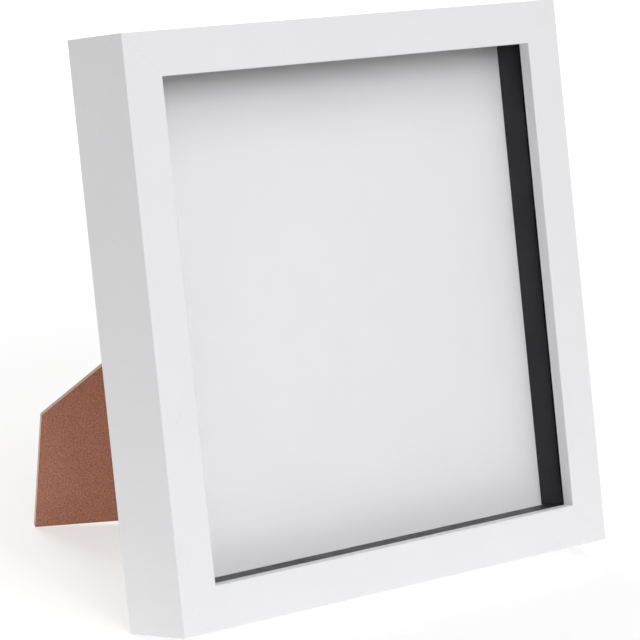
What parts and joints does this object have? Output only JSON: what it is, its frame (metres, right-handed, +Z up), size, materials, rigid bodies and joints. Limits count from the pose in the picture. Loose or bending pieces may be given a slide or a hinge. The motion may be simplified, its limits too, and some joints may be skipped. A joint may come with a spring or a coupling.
{
  "type": "shadow box",
  "caption": "Deep square box picture frame with glass, black inner spacer walls, a blank white insert and a hinged hardboard easel strut that it leans back on.",
  "frame": {"origin": "on the surface that the frame stands on, midway across the width and midway between the front edge of the leaning frame and the strut's foot", "axes": "+Z up, the glass faces -Y and slightly up, +X to the right as seen from the front; the frame leans back by 17.8 degrees"},
  "size_m": [0.23, 0.1421, 0.2293],
  "materials": {
    "white_foil": "moulding board wrapped in satin white foil",
    "clear_glass": "clear picture glass",
    "black_film": "black film with a faint grain, low sheen",
    "white_card": "plain matt white card",
    "hardboard": "smooth reddish brown hardboard with a paler sawn edge",
    "zinc_steel": "zinc plated pressed steel",
    "brassed_steel": "brass plated pressed steel"
  },
  "bodies": {
    "frame": {"rail_top": "white_foil", "rail_bottom": "white_foil", "rail_left": "white_foil", "rail_right": "white_foil", "v_nails": "zinc_steel", "glass_pane": "clear_glass", "spacer_top": "black_film", "spacer_bottom": "black_film", "spacer_left": "black_film", "spacer_right": "black_film", "insert_card": "white_card", "backboard": "hardboard", "hinge_leaf_back": "zinc_steel", "hinge_pin": "zinc_steel", "back_rivets": "zinc_steel", "clip_rivets": "zinc_steel", "sawtooth_hanger": "brassed_steel", "hanger_nails": "brassed_steel"},
    "strut": {"strut": "hardboard", "hinge_leaf_strut": "zinc_steel", "strut_rivets": "zinc_steel"},
    "clip_top": {"turn_clip_top": "zinc_steel"},
    "clip_bottom": {"turn_clip_bottom": "zinc_steel"},
    "clip_left": {"turn_clip_left": "zinc_steel"},
    "clip_right": {"turn_clip_right": "zinc_steel"}
  },
  "joints": [
    {"name": "strut_hinge", "type": "hinge", "parent": "frame", "child": "strut", "pos_m": [0.056, 0.00496, 0.16556], "axis": [-0.7071, 0.2162, 0.6732], "range_deg": [0, 29.9]},
    {"name": "clip_top_swivel", "type": "hinge", "parent": "frame", "child": "clip_top", "pos_m": [0, 0.01519, 0.20167], "axis": [0, -0.9521, 0.3057], "continuous": true},
    {"name": "clip_bottom_swivel", "type": "hinge", "parent": "frame", "child": "clip_bottom", "pos_m": [0, -0.04199, 0.02362], "axis": [0, -0.9521, 0.3057], "continuous": true},
    {"name": "clip_left_swivel", "type": "hinge", "parent": "frame", "child": "clip_left", "pos_m": [-0.0935, -0.0134, 0.11264], "axis": [0, -0.9521, 0.3057], "continuous": true},
    {"name": "clip_right_swivel", "type": "hinge", "parent": "frame", "child": "clip_right", "pos_m": [0.0935, -0.0134, 0.11264], "axis": [0, -0.9521, 0.3057], "continuous": true}
  ]
}
